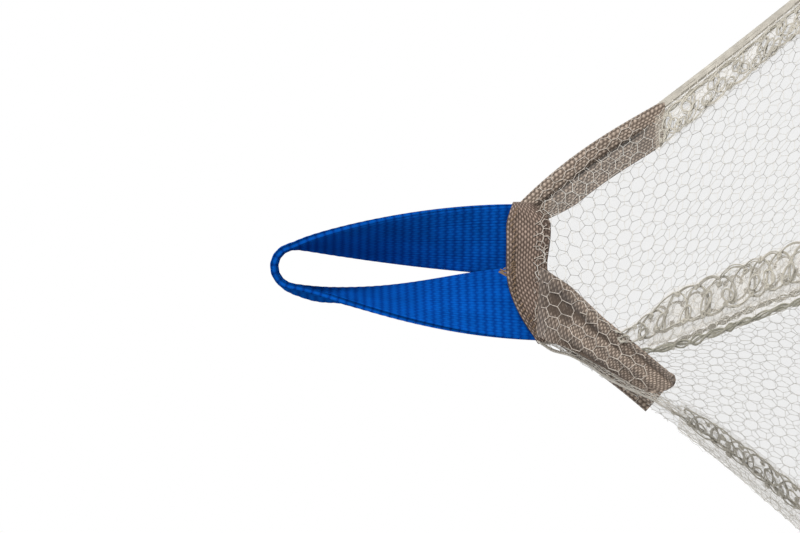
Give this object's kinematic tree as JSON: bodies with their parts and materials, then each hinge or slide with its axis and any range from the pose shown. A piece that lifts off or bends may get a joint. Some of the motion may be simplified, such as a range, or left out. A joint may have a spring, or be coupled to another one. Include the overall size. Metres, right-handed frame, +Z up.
{
  "type": "hanging net",
  "caption": "Small flared pyramid of fine hexagonal netting, hung from a flat webbing loop, with overlocked seams, taped apex and taped square mouth.",
  "frame": {"origin": "the hanging point: the inside of the webbing loop's crown, where a hook bears", "axes": "+Z up, away from the net; +Y from front to back, square to the loop's opening; +X to the right seam; the front seam is at -Y"},
  "size_m": [0.264, 0.264, 0.1915],
  "materials": {
    "loop_webbing": "woven polypropylene webbing",
    "binding_tape": "plain woven tape",
    "netting": "knitted hexagonal netting of fine yarn",
    "seam_thread": "soft textured sewing thread",
    "bar_tack_thread": "twisted sewing thread"
  },
  "bodies": {
    "loop": {"hanging_loop": "loop_webbing"},
    "net": {"loop_ends": "loop_webbing", "apex_wrap": "binding_tape", "loop_stitching": "bar_tack_thread", "seam_cap_right": "binding_tape", "seam_allowance_right": "netting", "overlock_stitch_right": "seam_thread", "chain_stitch_right": "seam_thread", "seam_cap_front": "binding_tape", "seam_allowance_front": "netting", "overlock_stitch_front": "seam_thread", "chain_stitch_front": "seam_thread", "seam_cap_left": "binding_tape", "seam_allowance_left": "netting", "overlock_stitch_left": "seam_thread", "chain_stitch_left": "seam_thread", "seam_cap_back": "binding_tape", "seam_allowance_back": "netting", "overlock_stitch_back": "seam_thread", "chain_stitch_back": "seam_thread", "net_panel_right_front": "netting", "net_panel_front_left": "netting", "net_panel_left_back": "netting", "net_panel_back_right": "netting"},
    "hem": {"hem_tape_right_front": "binding_tape", "hem_stitch_right_front": "seam_thread", "hem_tape_front_left": "binding_tape", "hem_stitch_front_left": "seam_thread", "hem_tape_left_back": "binding_tape", "hem_stitch_left_back": "seam_thread", "hem_tape_back_right": "binding_tape", "hem_stitch_back_right": "seam_thread"}
  },
  "joints": [
    {"name": "loop_flex", "type": "hinge", "parent": "loop", "child": "net", "pos_m": [0, 0, -0.0388], "axis": [1, 0, 0], "range_deg": [-60, 60]},
    {"name": "mouth_lift", "type": "slide", "parent": "net", "child": "hem", "axis": [0, 0, 1], "range_m": [0, 0.09]}
  ]
}
